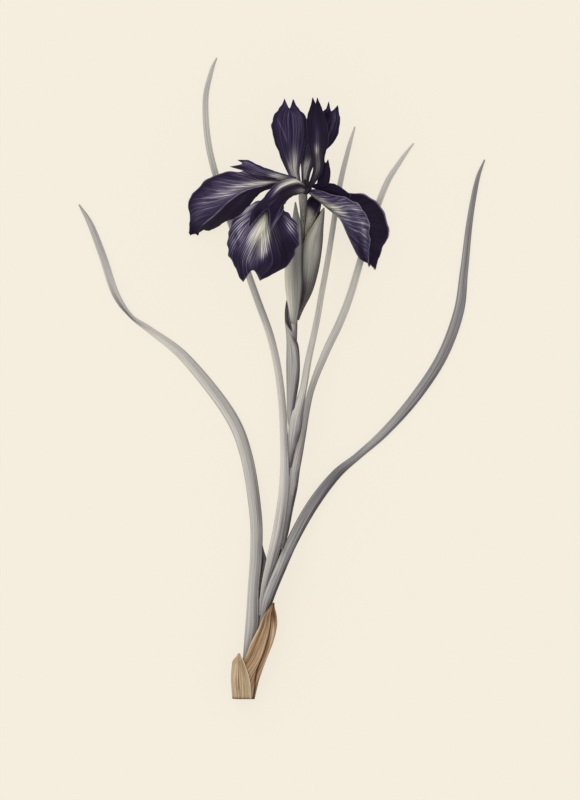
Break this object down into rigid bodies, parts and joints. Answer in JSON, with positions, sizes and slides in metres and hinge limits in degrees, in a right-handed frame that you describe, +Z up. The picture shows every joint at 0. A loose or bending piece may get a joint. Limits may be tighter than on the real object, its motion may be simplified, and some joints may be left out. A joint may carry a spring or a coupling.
{
  "type": "cut english iris flower stem",
  "caption": "Cut flowering stem of an English iris lying on its back, with long narrow leaves, dry basal sheaths, a spathe with a bud and an open dark violet flower.",
  "frame": {"origin": "centre of the box's underside, on the surface the stem lies on", "axes": "+Y from the cut end towards the flower, +Z up from the surface, +X to the right seen from above with the flower away from the viewer"},
  "size_m": [0.2448, 0.3858, 0.0745],
  "materials": {
    "stem": "matte, faintly ribbed",
    "leaf": "matte, finely veined along its length",
    "spathe": "matte, finely veined",
    "tan_sheath": "dry and papery",
    "brown_sheath": "dry and papery",
    "petal": "soft velvety petal with pale veins",
    "style_arm": "soft petal, pale at its base",
    "pale": "smooth and moist",
    "anther": "powdery"
  },
  "bodies": {
    "root": {"stem": "stem", "ovary": "spathe", "perianth_tube": "pale", "basal_sheath_large": "brown_sheath", "basal_sheath_small": "tan_sheath", "leaf_far_left": "leaf", "leaf_far_right": "leaf", "leaf_inner_left": "leaf", "leaf_inner_right_low": "leaf", "leaf_inner_right_high": "leaf", "upper_stem_sheath": "leaf", "spathe_valve_left": "spathe", "spathe_valve_right": "spathe", "second_bud_tube": "pale", "second_bud": "petal", "fall_left": "petal", "fall_front": "petal", "fall_right": "petal", "standard_left": "petal", "standard_right": "petal", "standard_back": "petal", "style_arm_left": "style_arm", "style_arm_front": "style_arm", "style_arm_right": "style_arm", "style_column": "pale", "filament_front": "pale", "anther_front": "anther", "filament_left": "pale", "anther_left": "anther", "filament_right": "pale", "anther_right": "anther"}
  },
  "joints": []
}
